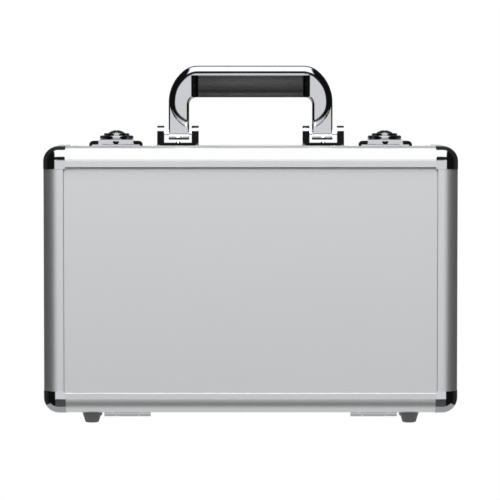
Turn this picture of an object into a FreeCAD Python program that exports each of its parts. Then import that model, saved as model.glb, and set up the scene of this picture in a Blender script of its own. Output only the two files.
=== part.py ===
import FreeCAD, Part
import os
from types import SimpleNamespace

import Sketcher
from FreeCAD import Placement, Rotation, Vector

# A socket wrench set in an aluminium carrying case, closed and standing on its feet.
# Millimetres. +Z is up, the lid faces -Y, and the origin is on the floor under the middle of the case.

DRIVING_SIZES = [
    ("case_width", 340.0, "outside width of the case"),
    ("case_height", 219.0, "outside height of the case without feet"),
    ("case_depth", 88.0, "outside depth of the closed case"),
    ("lid_depth", 34.0, "depth of the lid half"),
    ("foot_height", 9.0, "height of a rubber foot"),
    ("skin", 1.5, "wall of the aluminium profiles"),
    ("flange", 17.2, "width of an edge profile on each face it wraps"),
    ("corner_radius", 12.5, "rounding of the four corners seen from the front"),
    ("edge_radius", 12.0, "rounding between a large face and the side walls"),
    ("lip_round", 0.55, "rounding of a profile's edge on the panel"),
    ("cap_reach", 18.4, "reach of a corner cap along each edge"),
    ("cap_proud", 0.3, "height of a corner cap over the profiles"),
    ("board", 4.0, "thickness of the panels and the wall boards"),
    ("mouth_depth", 8.0, "depth of the frame round the mouth of each half"),
    ("mouth_width", 7.0, "width of that frame across the wall"),
    ("mouth_web", 3.0, "thickness of that frame between the halves"),
    ("mouth_gap", 0.3, "gap between the two mouth frames"),
    ("rib_width", 1.2, "width and height of the rib on the lid's mouth frame"),
    ("groove_width", 3.2, "width of the groove that takes the rib"),
    ("groove_deep", 1.8, "depth of that groove"),
    ("lining_inset", 7.5, "foam and tray edges behind the outside of the walls"),
    ("tray_face", 12.0, "front face of the tool tray behind the middle of the case"),
    ("foot_offset", 131.0, "feet from the middle of the case, sideways"),
    ("foot_setback", 24.0, "feet from the middle of the case, front to back"),
    ("foot_top_radius", 7.9, "radius of a foot where it meets the case"),
    ("foot_tip_radius", 6.0, "radius of a foot above its rounded tip"),
    ("foot_tip_round", 1.9, "rounding of a foot's tip"),
    ("hinge_offset", 102.2, "hinges from the middle of the case"),
    ("hinge_width", 38.5, "width of a hinge"),
    ("hinge_drop", 2.95, "hinge axis below the bottom wall"),
    ("knuckle_radius", 2.8, "outside radius of a hinge knuckle"),
    ("hinge_pin_radius", 1.25, "radius of a hinge pin"),
    ("leaf_reach", 11.0, "hinge leaf from the axis to its free edge"),
    ("leaf_gauge", 1.2, "thickness of hinge leaves and latch plates"),
    ("handle_y", 4.0, "handle behind the middle of the case"),
    ("leg_offset", 59.5, "middle of a handle leg from the middle of the case"),
    ("leg_width", 17.0, "width of a handle leg"),
    ("leg_depth", 11.0, "thickness of a handle leg"),
    ("arch_depth", 16.0, "thickness of the handle's arch"),
    ("arch_low", 13.5, "inner foot of the arch above the top wall"),
    ("shoulder_height", 36.0, "where the arch stops being upright, above the top wall"),
    ("shoulder_radius", 33.7, "radius of the arch's outer shoulder"),
    ("arch_bevel", 3.5, "bevel of the arch's outer edges"),
    ("arch_front_round", 8.7, "rounding between that bevel and the arch's front or back"),
    ("arch_outer_round", 2.9, "rounding between that bevel and the arch's outside"),
    ("arch_inner_round", 2.5, "rounding of the arch's edges round the finger gap"),
    ("pivot_height", 10.3, "handle pivot above the top wall"),
    ("handle_height", 66.26, "top of the handle above the top wall"),
    ("grip_half", 43.7, "half the length of the handle grip"),
    ("grip_low", 40.0, "underside of the handle grip above the top wall"),
    ("grip_high", 58.3, "upper side of the handle grip above the top wall"),
    ("grip_depth", 20.0, "thickness of the handle grip"),
    ("grip_shoulder", 7.0, "rounding of the arch where the grip's ends meet it"),
    ("bracket_offset", 60.3, "handle brackets from the middle of the case"),
    ("bracket_width", 34.4, "width of a handle bracket"),
    ("bracket_foot", 2.4, "thickness of a bracket's foot plate"),
    ("ear_width", 5.8, "thickness of a bracket's ear"),
    ("ear_radius", 6.2, "radius of a bracket's ear round the pivot"),
    ("ear_foot", 8.2, "half the depth of a bracket's ear at its foot"),
    ("handle_pin_radius", 1.5, "radius of a handle pin"),
    ("latch_offset", 111.0, "latches from the middle of the case"),
    ("latch_half", 14.2, "half the width of a latch flap"),
    ("strike_half", 22.0, "half the width of a strike"),
    ("disc_radius", 14.0, "radius of the round boss on a flap"),
    ("disc_y", -3.5, "middle of that boss, front to back"),
    ("barrel_radius", 6.6, "radius of a key cylinder"),
    ("latch_pivot_y", 15.0, "latch hinge behind the middle of the case"),
    ("latch_pivot_z", 3.8, "latch hinge above the top wall"),
    ("latch_pin_radius", 1.1, "radius of a latch pin"),
    ("drive_square", 12.7, "square drive of the tools"),
    ("socket_length", 38.0, "length of a socket"),
    ("socket_mouth", -8.0, "socket mouths, front to back"),
    ("socket_hex_deep", 16.0, "depth of a socket's hexagon"),
    ("ratchet_x", 112.0, "drive axis of the ratchet, sideways"),
    ("ratchet_z", 193.0, "drive axis of the ratchet above the floor"),
    ("ratchet_head_radius", 18.0, "radius of the ratchet head"),
    ("ratchet_head_deep", 20.0, "thickness of the ratchet head"),
    ("extension_z", 154.0, "extension bars above the floor"),
    ("bar_radius", 8.0, "radius of an extension bar"),
    ("tool_y", 12.0, "middle of the lying tools, front to back"),
]

# Hexagon of each socket across its flats, with its place in the tray: sideways and above the floor.
SOCKETS = [
    (10, -135.0, 106.0), (11, -81.0, 106.0), (12, -27.0, 106.0),
    (13, 27.0, 106.0), (14, 81.0, 106.0), (15, 135.0, 106.0),
    (17, -134.0, 54.0), (19, -84.0, 54.0), (22, -31.0, 54.0), (24, 25.0, 54.0),
]

# Extension bars: name, the ends sideways.
EXTENSIONS = [("long_extension", -150.0, 50.0), ("short_extension", 72.0, 147.0)]

# The spark plug socket lies along the tray: its ends sideways, height, radius and hexagon.
PLUG_SOCKET = SimpleNamespace(low=72.0, high=142.0, z=54.0, radius=13.5, hexagon=21.0)

doc = FreeCAD.newDocument("socket_set_case")
sheet = doc.addObject("Spreadsheet::Sheet", "Sizes")
pieces = []


class Size:
    """A length in millimetres with the sheet expression that it comes from."""

    def __init__(self, value, text):
        self.value = value
        self.text = text

    def __add__(self, other):
        other = as_size(other)
        return Size(self.value + other.value, f"({self.text} + {other.text})")

    def __sub__(self, other):
        other = as_size(other)
        return Size(self.value - other.value, f"({self.text} - {other.text})")

    def __mul__(self, factor):
        factor = as_size(factor)
        return Size(self.value * factor.value, f"({self.text} * {factor.text})")

    def __truediv__(self, divisor):
        divisor = as_size(divisor)
        return Size(self.value / divisor.value, f"({self.text} / {divisor.text})")

    def __neg__(self):
        return Size(-self.value, f"(-{self.text})")

    def __radd__(self, other):
        return as_size(other) + self

    def __rsub__(self, other):
        return as_size(other) - self

    def __rmul__(self, factor):
        return self * factor


def as_size(amount):
    """Turns a plain number into a Size."""
    return amount if isinstance(amount, Size) else Size(float(amount), f"({float(amount)})")


def fill_sheet():
    """Writes the driving sizes to the sheet and gives them back by name."""
    named = {}
    for row, (alias, value, meaning) in enumerate(DRIVING_SIZES, start=1):
        sheet.set(f"A{row}", meaning)
        sheet.set(f"B{row}", str(value))
        sheet.setAlias(f"B{row}", alias)
        named[alias] = Size(value, f"Sizes.{alias}")
    doc.recompute()
    return SimpleNamespace(**named)


# Primitives, booleans and rounded edges

TURNS = {
    "X": Rotation(Vector(0, 1, 0), 90),
    "Y": Rotation(Vector(1, 0, 0), -90),
    "Z": Rotation(),
}


def bind(thing, path, amount):
    """Ties one property to the sheet."""
    thing.setExpression(path, as_size(amount).text)


def place(thing, at, axis="Z"):
    """Puts a thing at a point, with its own Z turned to an axis."""
    thing.Placement = Placement(Vector(), TURNS[axis])
    for letter, amount in zip("xyz", at):
        bind(thing, f"Placement.Base.{letter}", amount)


def block(name, x, y, z):
    """A box between a low and a high value on each axis."""
    box = doc.addObject("Part::Box", name)
    for side, (low, high) in zip(("Length", "Width", "Height"), (x, y, z)):
        bind(box, side, high - as_size(low))
    place(box, (x[0], y[0], z[0]))
    return box


def drafted(name, x, y, z, lean):
    """A box whose front and back lean in by an amount towards the top."""
    wedge = doc.addObject("Part::Wedge", name)
    width, depth = x[1] - as_size(x[0]), y[1] - as_size(y[0])
    sides = {"Xmin": 0.0, "Xmax": width, "Ymin": 0.0, "Zmin": lean, "Zmax": depth - lean,
             "X2min": 0.0, "X2max": width, "Ymax": z[1] - as_size(z[0]), "Z2min": 0.0, "Z2max": depth}
    for side, amount in sides.items():
        bind(wedge, side, amount)
    place(wedge, (x[0], y[0], z[1]), "Y")
    return wedge


def rod(name, radius, length, at, axis):
    """A round bar from a point along an axis."""
    cylinder = doc.addObject("Part::Cylinder", name)
    bind(cylinder, "Radius", radius)
    bind(cylinder, "Height", length)
    place(cylinder, at, axis)
    return cylinder


def taper(name, radius, end_radius, length, at, axis):
    """A cone frustum from a point along an axis."""
    cone = doc.addObject("Part::Cone", name)
    bind(cone, "Radius1", radius)
    bind(cone, "Radius2", end_radius)
    bind(cone, "Height", length)
    place(cone, at, axis)
    return cone


def fuse(name, *shapes):
    """One solid from several that overlap."""
    result = doc.addObject("Part::MultiFuse", name)
    result.Shapes = list(shapes)
    result.Refine = True
    return result


def cut(name, base, *tools):
    """A solid with others taken out of it."""
    result = doc.addObject("Part::Cut", name)
    result.Base = base
    result.Tool = tools[0] if len(tools) == 1 else fuse(name + "_tools", *tools)
    result.Refine = True
    return result


def common(name, base, tool):
    """What two solids share."""
    result = doc.addObject("Part::Common", name)
    result.Base = base
    result.Tool = tool
    return result


def group(name, *shapes):
    """Several separate solids in one piece."""
    result = doc.addObject("Part::Compound", name)
    result.Links = list(shapes)
    return result


def span(edge, axis):
    """How far an edge reaches along an axis."""
    box = edge.BoundBox
    return {"X": box.XLength, "Y": box.YLength, "Z": box.ZLength}[axis]


def runs_along(axis):
    """A test for straight edges along one axis."""
    others = [letter for letter in "XYZ" if letter != axis]

    def test(edge):
        return span(edge, axis) > 0.1 and all(span(edge, other) < 0.001 for other in others)
    return test


def lies_at(axis, amount):
    """A test for edges in a plane square to one axis."""
    def test(edge):
        middle = {"X": edge.BoundBox.Center.x, "Y": edge.BoundBox.Center.y, "Z": edge.BoundBox.Center.z}
        return span(edge, axis) < 0.001 and abs(middle[axis] - as_size(amount).value) < 0.01
    return test


def is_level(edge):
    """Whether an edge lies in a level plane."""
    return span(edge, "Z") < 0.001


def edge_numbers(shape, *tests):
    """Numbers of the edges that pass every test."""
    return [number for number, edge in enumerate(shape.Edges, start=1) if all(test(edge) for test in tests)]


def rounded(name, base, radius, *tests):
    """A solid with the chosen edges rounded."""
    doc.recompute()
    result = doc.addObject("Part::Fillet", name)
    result.Base = base
    amount = as_size(radius).value
    result.Edges = [(number, amount, amount) for number in edge_numbers(base.Shape, *tests)]
    return result


# Sketched bodies

def new_body(name):
    return doc.addObject("PartDesign::Body", name)


def new_sketch(body, name, role, corners, height=0.0):
    """A closed outline on one of the body's planes.

    A corner is (x, y), or (x, y, radius) where an arc follows it: positive turns left, negative right.
    """
    sketch = body.newObject("Sketcher::SketchObject", name)
    plane = next(feature for feature in body.Origin.OriginFeatures if feature.Role == role)
    sketch.AttachmentSupport = (plane, [""])
    sketch.MapMode = "FlatFace"
    bind(sketch, "AttachmentOffset.Base.z", height)
    points = [Vector(as_size(corner[0]).value, as_size(corner[1]).value, 0) for corner in corners]
    starts, ends = [], []
    for index, corner in enumerate(corners):
        start, end = points[index], points[(index + 1) % len(points)]
        if len(corner) == 2:
            sketch.addGeometry(Part.LineSegment(start, end))
            starts.append(1)
            ends.append(2)
            continue
        radius = as_size(corner[2]).value
        sketch.addGeometry(arc_between(start, end, radius))
        starts.append(1 if radius > 0 else 2)
        ends.append(2 if radius > 0 else 1)
    for index in range(len(corners)):
        before = (index - 1) % len(corners)
        sketch.addConstraint(Sketcher.Constraint("Coincident", before, ends[before], index, starts[index]))
    for index, corner in enumerate(corners):
        for kind, letter, amount in (("DistanceX", "x", corner[0]), ("DistanceY", "y", corner[1])):
            rule = Sketcher.Constraint(kind, -1, 1, index, starts[index], as_size(amount).value)
            name_rule(sketch, rule, f"{letter}{index}", amount)
        if len(corner) == 3:
            turn = corner[2] if as_size(corner[2]).value > 0 else -as_size(corner[2])
            name_rule(sketch, Sketcher.Constraint("Radius", index, as_size(turn).value), f"r{index}", turn)
    return sketch


def name_rule(sketch, rule, name, amount):
    """Adds a constraint and ties it to the sheet."""
    sketch.renameConstraint(sketch.addConstraint(rule), name)
    bind(sketch, f"Constraints.{name}", amount)


def arc_between(start, end, radius):
    """An arc of under a half circle between two points, turning left for a positive radius."""
    chord = end - start
    middle = (start + end) * 0.5
    rise = (radius ** 2 - (chord.Length / 2) ** 2) ** 0.5
    normal = Vector(-chord.y, chord.x, 0).normalize()
    side = 1 if radius > 0 else -1
    centre = middle + normal * rise * side
    crown = centre - normal * abs(radius) * side
    return Part.Arc(start, crown, end)


def turned(name, profile, at, axis):
    """A body turned about its own Z from (radius, height) corners."""
    body = new_body(name)
    sketch = new_sketch(body, name + "_profile", "XZ_Plane", profile)
    turning = body.newObject("PartDesign::Revolution", name + "_turning")
    turning.Profile = sketch
    turning.ReferenceAxis = (sketch, ["V_Axis"])
    turning.Angle = 360
    place(body, at, axis)
    return body


def sunk(body, name, corners, height, deep, towards_plus):
    """A pocket in a turned body, from a height up or down its axis."""
    doc.recompute()
    before = body.Shape.Volume
    sketch = new_sketch(body, name + "_outline", "XY_Plane", corners, height)
    pocket = body.newObject("PartDesign::Pocket", name)
    pocket.Profile = sketch
    pocket.Reversed = towards_plus
    bind(pocket, "Length", deep)
    doc.recompute()
    if body.Shape.Volume > before - 1:
        raise RuntimeError(f"{name} cuts nothing")


def hexagon(flats):
    """Corners of a hexagon of a size across its flats."""
    side = flats / 3 ** 0.5
    return [(side, 0.0), (side / 2, flats / 2), (-side / 2, flats / 2),
            (-side, 0.0), (-side / 2, -flats / 2), (side / 2, -flats / 2)]


def square(width):
    """Corners of a square of a width."""
    half = width / 2
    return [(half, -half), (half, half), (-half, half), (-half, -half)]


# Places that several pieces share

size = fill_sheet()
half_width = size.case_width / 2
bottom = size.foot_height
top = size.foot_height + size.case_height
front = -size.case_depth / 2
rear = size.case_depth / 2
parting = front + size.lid_depth
hinge_z = bottom - size.hinge_drop
pivot_z = top + size.pivot_height
SIDES = (("left", -1), ("right", 1))

# How far a cutting shape stands past what it cuts, and the room round a pin and behind a lining.
OVER = 1.0
PIN_PLAY = 0.05
LINING_PLAY = 0.2


# The two half cases

def half_solid(name, grow, y, face):
    """A half case with its outer edges rounded. grow moves its outside outwards."""
    reach = half_width + grow
    box = block(name + "_box", (-reach, reach), y, (bottom - grow, top + grow))
    upright = rounded(name + "_upright", box, size.corner_radius + grow, runs_along("Y"))
    return rounded(name, upright, size.edge_radius + grow, lies_at("Y", face))


def prism(name, inset, y):
    """A block with the case's rounded outline, moved inwards by an inset."""
    inset = as_size(inset)
    reach = half_width - inset
    box = block(name + "_box", (-reach, reach), y, (bottom + inset, top - inset))
    return rounded(name, box, size.corner_radius - inset, runs_along("Y"))


def ring(name, outer, inner, y):
    """A band between two insets from the outside of the case."""
    hole_y = (as_size(y[0]) - OVER, as_size(y[1]) + OVER)
    return cut(name, prism(name + "_outer", outer, y), prism(name + "_inner", inner, hole_y))


def toward_face(face, out, amount):
    """A place measured from a half's large face into the case."""
    return face - out * as_size(amount)


def ordered(first, second):
    """Two places with the lower one first."""
    first, second = as_size(first), as_size(second)
    return (first, second) if first.value < second.value else (second, first)


def half_case(half, panel_name, edge_name, face, out):
    """Panel, profiles, caps, posts, boards and lining of one half. out is the way its large face looks."""
    skin_y = ordered(face, parting)
    proud_y = ordered(face + out * size.cap_proud, parting)
    inner_y = ordered(toward_face(face, out, size.skin), parting)
    outer = half_solid(half + "_outer", as_size(0.0), skin_y, face)
    proud = half_solid(half + "_proud", size.cap_proud, proud_y, face + out * size.cap_proud)
    inner = half_solid(half + "_inner", -size.skin, inner_y, toward_face(face, out, size.skin))
    shell = cut(half + "_shell", outer, inner)
    cap_shell = cut(half + "_cap_shell", proud, inner)

    bar_y = ordered(face + out * OVER, toward_face(face, out, size.flange))
    inside_x = half_width - size.cap_reach
    inside_z = (bottom + size.cap_reach, top - size.cap_reach)
    bars = [
        block(half + "_bar_top", (-inside_x, inside_x), bar_y, (top - size.flange, top + OVER)),
        block(half + "_bar_bottom", (-inside_x, inside_x), bar_y, (bottom - OVER, bottom + size.flange)),
        block(half + "_bar_left", (-half_width - OVER, size.flange - half_width), bar_y, inside_z),
        block(half + "_bar_right", (half_width - size.flange, half_width + OVER), bar_y, inside_z),
    ]
    profiles = common(half + "_bent_profiles", shell, group(half + "_bars", *bars))
    pieces.append(rounded(edge_name + "_edge_profiles", profiles, size.lip_round, lies_at("Y", face), on_lip))

    cap_y = ordered(face + out * OVER, toward_face(face, out, size.cap_reach))
    post_y = ordered(toward_face(face, out, size.cap_reach), parting + out * size.mouth_depth)
    caps = corner_blocks(half + "_cap", size.cap_reach, cap_y)
    posts = corner_blocks(half + "_post", size.flange, post_y)
    pieces.append(common(edge_name + "_corner_caps", cap_shell, group(half + "_cap_blocks", *caps)))
    pieces.append(common(half + "_corner_posts", shell, group(half + "_post_blocks", *posts)))

    panel_y = ordered(toward_face(face, out, size.skin), toward_face(face, out, size.skin + size.board))
    panel_x = half_width - size.edge_radius
    panel_z = (bottom + size.edge_radius, top - size.edge_radius)
    pieces.append(block(panel_name, (-panel_x, panel_x), panel_y, panel_z))

    wall_y = ordered(toward_face(face, out, size.edge_radius), parting + out * size.mouth_web)
    near, far = size.skin, size.skin + size.board
    wall_x = half_width - size.corner_radius
    wall_z = (bottom + size.corner_radius, top - size.corner_radius)
    boards = [
        block(half + "_board_top", (-wall_x, wall_x), wall_y, (top - far, top - near)),
        block(half + "_board_bottom", (-wall_x, wall_x), wall_y, (bottom + near, bottom + far)),
        block(half + "_board_left", (near - half_width, far - half_width), wall_y, wall_z),
        block(half + "_board_right", (half_width - far, half_width - near), wall_y, wall_z),
    ]
    pieces.append(group(half + "_wall_boards", *boards))


def on_lip(edge):
    """Whether an edge is on the line where a profile ends on the panel."""
    level = lies_at("Z", top - size.flange)(edge) or lies_at("Z", bottom + size.flange)(edge)
    upright = lies_at("X", half_width - size.flange)(edge) or lies_at("X", size.flange - half_width)(edge)
    return level or upright


def corner_blocks(name, reach, y):
    """Blocks round the four corners of the case."""
    blocks = []
    for side, x in (("left", (-half_width - OVER, reach - half_width)),
                    ("right", (half_width - reach, half_width + OVER))):
        for end, z in (("low", (bottom - OVER, bottom + reach)), ("high", (top - reach, top + OVER))):
            blocks.append(block(f"{name}_{side}_{end}", x, y, z))
    return blocks


def channel(name, mouth, out):
    """A mouth frame: a channel that holds the wall boards, closed towards the other half."""
    frame_y = ordered(mouth, parting + out * size.mouth_depth)
    slot_y = ordered(parting + out * size.mouth_web, parting + out * (size.mouth_depth + OVER))
    band = ring(name + "_band", 0.0, size.mouth_width, frame_y)
    slot = ring(name + "_slot", size.skin, size.skin + size.board, slot_y)
    return band, slot


def mouth_frames():
    """The lid's frame carries a rib, which closes into a groove in the base's frame."""
    middle = size.mouth_width / 2 + size.rib_width / 2
    lid_mouth = parting - size.mouth_gap
    band, slot = channel("lid_mouth", lid_mouth, -1)
    rib = ring("lid_rib", middle - size.rib_width / 2, middle + size.rib_width / 2,
               (lid_mouth, lid_mouth + size.rib_width))
    pieces.append(fuse("lid_mouth_frame", cut("lid_mouth_channel", band, slot), rib))
    band, slot = channel("base_mouth", parting, 1)
    groove = ring("base_groove", middle - size.groove_width / 2, middle + size.groove_width / 2,
                  (parting - OVER, parting + size.groove_deep))
    pieces.append(cut("base_mouth_frame", cut("base_mouth_channel", band, slot), groove))


def lid_foam():
    """Foam pad that holds the tools down when the lid is shut."""
    behind_panel, foam_face = front + size.skin + size.board + LINING_PLAY, parting - 1.0
    pieces.append(prism("lid_foam", size.lining_inset, (behind_panel, foam_face)))


# Feet

def feet(half, out):
    """Two tapered rubber feet with the screws that hold them."""
    shank, head = 1.5, 2.6
    bore, well = shank + 0.1, head + 0.3
    ledge, head_low, bevel, rim = 4.0, 1.4, 0.6, 1.0
    rubber = [
        (bore, ledge), (well, ledge), (well, 0.0),
        (size.foot_tip_radius - size.foot_tip_round, 0.0, size.foot_tip_round),
        (size.foot_tip_radius, size.foot_tip_round),
        (size.foot_top_radius, size.foot_height - rim), (size.foot_top_radius, size.foot_height),
        (bore, size.foot_height),
    ]
    steel = [
        (0.0, head_low), (head - bevel, head_low), (head, head_low + bevel), (head, ledge),
        (shank, ledge), (shank, size.foot_height), (0.0, size.foot_height),
    ]
    for name, profile in (("feet", rubber), ("foot_screws", steel)):
        pair = [turned(f"{half}_{name}_{side}", profile,
                       (sign * size.foot_offset, out * size.foot_setback, 0.0), "Z")
                for side, sign in SIDES]
        pieces.append(group(f"{half}_{name}", *pair))


# Hinges

def hinge_leaf(name, centre, out, segments):
    """A plate under the bottom wall with knuckles round the axis on its own segments."""
    half = size.hinge_width / 2
    clear, lap, corner = size.knuckle_radius + 0.4, 0.2, 4.0
    plate_z = (bottom - size.leaf_gauge, bottom)
    free_edge = parting + out * size.leaf_reach
    plate_y = ordered(parting + out * clear, free_edge)
    tab_y = ordered(parting, parting + out * (clear + lap))
    plate = block(name + "_plate", (centre - half, centre + half), plate_y, plate_z)
    shapes = [rounded(name + "_trimmed", plate, corner, runs_along("Z"), lies_at("Y", free_edge))]
    for index, (low, high) in enumerate(segments):
        x = (centre + half * low, centre + half * high)
        shapes.append(block(f"{name}_tab_{index}", x, tab_y, plate_z))
        shapes.append(rod(f"{name}_knuckle_{index}", size.knuckle_radius, x[1] - x[0],
                          (x[0], parting, hinge_z), "X"))
    bore = rod(name + "_bore", size.hinge_pin_radius + PIN_PLAY, size.hinge_width + 2 * OVER,
               (centre - half - OVER, parting, hinge_z), "X")
    pieces.append(cut(name, fuse(name + "_whole", *shapes), bore))


def hinges():
    """Lid knuckles on the outside, the base's knuckle between them, one pin through all three."""
    pins = []
    # Ends of the knuckles as shares of half the hinge's width.
    lid_knuckles, base_knuckles = ((-1.0, -0.51), (0.51, 1.0)), ((-0.49, 0.49),)
    for side, sign in SIDES:
        centre = sign * size.hinge_offset
        hinge_leaf(f"{side}_hinge_lid_leaf", centre, -1, lid_knuckles)
        hinge_leaf(f"{side}_hinge_base_leaf", centre, 1, base_knuckles)
        pins.append(rod(f"{side}_hinge_pin", size.hinge_pin_radius, size.hinge_width,
                        (centre - size.hinge_width / 2, parting, hinge_z), "X"))
    pieces.append(group("hinge_pins", *pins))


# Handle

# Rounding of the upper corners of the gap for the fingers.
FINGER_CORNER = 6.0


def handle_brackets():
    """Clevis brackets on the top wall, and the pins that the handle swings on."""
    pins = []
    foot_half, foot_round, foot_lean = 10.0, 3.0, 0.45
    # The ears' faces run into the round eye this share of its radius above the pivot.
    rise = 0.18
    meet_z, meet_half = pivot_z + size.ear_radius * rise, size.ear_radius * (1 - rise ** 2) ** 0.5
    for side, sign in SIDES:
        name = f"{side}_handle_bracket"
        low = sign * size.bracket_offset - size.bracket_width / 2
        high = sign * size.bracket_offset + size.bracket_width / 2
        ear_y = (size.handle_y - size.ear_foot, size.handle_y + size.ear_foot)
        foot_y = (size.handle_y - foot_half, size.handle_y + foot_half)
        foot_z = (top, top + size.bracket_foot)
        plate = block(name + "_foot_plate", (low, high), foot_y, foot_z)
        corners = rounded(name + "_foot_corners", plate, foot_round, runs_along("Z"))
        sides = drafted(name + "_foot_sides", (low, high), foot_y, foot_z, foot_lean)
        shapes = [common(name + "_foot", corners, sides)]
        for end, x in (("low", low), ("high", high - size.ear_width)):
            shapes.append(drafted(f"{name}_ear_{end}", (x, x + size.ear_width), ear_y, (top, meet_z),
                                  size.ear_foot - meet_half))
            shapes.append(rod(f"{name}_eye_{end}", size.ear_radius, size.ear_width,
                              (x, size.handle_y, pivot_z), "X"))
        bore = rod(name + "_bore", size.handle_pin_radius + PIN_PLAY, size.bracket_width + 2 * OVER,
                   (low - OVER, size.handle_y, pivot_z), "X")
        pieces.append(cut(name, fuse(name + "_whole", *shapes), bore))
        pins.append(rod(f"{side}_handle_pin", size.handle_pin_radius, size.bracket_width,
                        (low, size.handle_y, pivot_z), "X"))
    pieces.append(group("handle_pins", *pins))


def handle_outline():
    """The arch from the front: two arcs on each shoulder, a slot for the grip, and an arc over each leg."""
    outer = size.leg_offset + size.leg_width / 2
    inner = size.leg_offset - size.leg_width / 2
    crown = top + size.handle_height
    low, shoulder = top + size.arch_low, top + size.shoulder_height
    # The arc over a leg is upright where it meets the shoulder.
    leg_rise = shoulder - low
    leg_arc = (size.leg_width * size.leg_width + leg_rise * leg_rise) / (size.leg_width * 2)
    # The two shoulder arcs meet 50 degrees up from the level.
    cosine, sine = 0.642788, 0.766044
    wide = size.shoulder_radius
    tight = (crown - shoulder - wide * sine) / (1 - sine)
    meet_x, meet_z = outer - wide * (1 - cosine), shoulder + wide * sine
    crown_x = outer - wide + (wide - tight) * cosine
    inner_round = FINGER_CORNER
    grip_low, grip_high = top + size.grip_low, top + size.grip_high
    half = size.grip_half
    right = [(inner, low, leg_arc), (outer, shoulder, wide), (meet_x, meet_z, tight), (crown_x, crown)]
    left = [(-crown_x, crown, tight), (-meet_x, meet_z, wide), (-outer, shoulder, leg_arc), (-inner, low)]
    slot = [(-inner, grip_low - inner_round, -inner_round), (inner_round - inner, grip_low),
            (-half, grip_low), (-half, grip_high), (half, grip_high), (half, grip_low),
            (inner - inner_round, grip_low, -inner_round), (inner, grip_low - inner_round)]
    return right + left + slot


def handle():
    """Chrome handle: a thick arch on two flat legs with round eyes, and a soft grip in its slot."""
    arch = new_body("handle_arch")
    sketch = new_sketch(arch, "handle_arch_outline", "XZ_Plane", handle_outline())
    pad = arch.newObject("PartDesign::Pad", "handle_arch_pad")
    pad.Profile = sketch
    bind(pad, "Length", size.arch_depth)
    place(arch, (0.0, size.handle_y + size.arch_depth / 2, 0.0))
    soften(arch, "handle_outer_bevel", pad, "Size", size.arch_bevel, on_outside)
    soften(arch, "handle_front_rounding", arch.Tip, "Radius", size.arch_front_round, on_outside, on_arch_face)
    soften(arch, "handle_outer_rounding", arch.Tip, "Radius", size.arch_outer_round, on_outside, on_bevel)
    soften(arch, "handle_inner_rounding", arch.Tip, "Radius", size.arch_inner_round,
           round_fingers, on_arch_face)
    legs = []
    leg_top, leg_round = 34.0, 1.5
    for side, sign in SIDES:
        name = f"{side}_handle_leg"
        low = sign * size.leg_offset - size.leg_width / 2
        leg_y = (size.handle_y - size.leg_depth / 2, size.handle_y + size.leg_depth / 2)
        bar = block(name + "_bar", (low, low + size.leg_width), leg_y, (pivot_z, top + leg_top))
        eye = rod(name + "_eye", size.leg_depth / 2, size.leg_width, (low, size.handle_y, pivot_z), "X")
        legs += [rounded(name, bar, leg_round, runs_along("Z")), eye]
    bore = rod("handle_bore", size.handle_pin_radius + PIN_PLAY, 2 * half_width,
               (-half_width, size.handle_y, pivot_z), "X")
    pieces.append(cut("handle_frame", fuse("handle_whole", arch, *legs), bore, *grip_shoulders()))

    under_round, upper_round = 7.0, 1.2
    grip_y = (size.handle_y - size.grip_depth / 2, size.handle_y + size.grip_depth / 2)
    low, high = top + size.grip_low, top + size.grip_high
    grip = block("handle_grip_block", (-size.grip_half, size.grip_half), grip_y, (low, high))
    under = rounded("handle_grip_under", grip, under_round, runs_along("X"), lies_at("Z", low))
    pieces.append(rounded("handle_grip", under, upper_round, runs_along("X"), lies_at("Z", high)))


def grip_shoulders():
    """What is taken off the arch, front and back, so that it rounds down to each end of the grip."""
    taken = []
    radius, z = size.grip_shoulder, (top + size.grip_low - FINGER_CORNER, top + size.grip_high)
    for side, sign in SIDES:
        for face, way in (("front", -1), ("back", 1)):
            name = f"{side}_{face}_shoulder"
            end, middle = sign * size.grip_half, sign * (size.grip_half + radius)
            plane = size.handle_y + way * size.arch_depth / 2
            corner = block(name + "_block", ordered(end - sign * OVER, middle),
                           ordered(plane - way * radius, plane + way * OVER), z)
            kept = rod(name + "_round", radius, z[1] - z[0], (middle, plane - way * radius, z[0]), "Z")
            taken.append(cut(name, corner, kept))
    return taken


def soften(body, name, base, kind, amount, *tests):
    """Bevels or rounds the edges along a body's outline that pass the tests."""
    doc.recompute()
    numbers = [number for number, edge in enumerate(base.Shape.Edges, start=1)
               if span(edge, "Y") < 0.001 and all(test(edge) for test in tests)]
    softened = body.newObject("PartDesign::Chamfer" if kind == "Size" else "PartDesign::Fillet", name)
    softened.Base = (base, [f"Edge{number}" for number in numbers])
    bind(softened, kind, amount)


def behind_face(edge):
    """Distance of an edge of the arch from its front or back, whichever is nearer."""
    depth = abs(edge.BoundBox.Center.y)
    return min(depth, size.arch_depth.value - depth)


def on_arch_face(edge):
    """Whether an edge is on the arch's front or back."""
    return behind_face(edge) < 0.01


def on_bevel(edge):
    """Whether an edge is where the arch's bevel meets its outside."""
    return abs(behind_face(edge) - size.arch_bevel.value) < 0.01


def on_outside(edge):
    """Whether an edge of the arch is on its outer outline."""
    box = edge.BoundBox
    over_top = box.ZMin > (top + size.grip_high).value + 1.0
    return over_top or farthest_out(edge) > finger_half().value + 1.0


def round_fingers(edge):
    """Whether an edge of the arch is beside the gap for the fingers."""
    below_grip = edge.BoundBox.ZMax < (top + size.grip_low).value + 0.01
    return below_grip and farthest_out(edge) < finger_half().value + 0.01


def farthest_out(edge):
    """The edge's greatest distance from the middle of the case, sideways."""
    return max(abs(edge.BoundBox.XMin), abs(edge.BoundBox.XMax))


def finger_half():
    """Half the width of the gap for the fingers."""
    return size.leg_offset - size.leg_width / 2


# Latches

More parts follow.
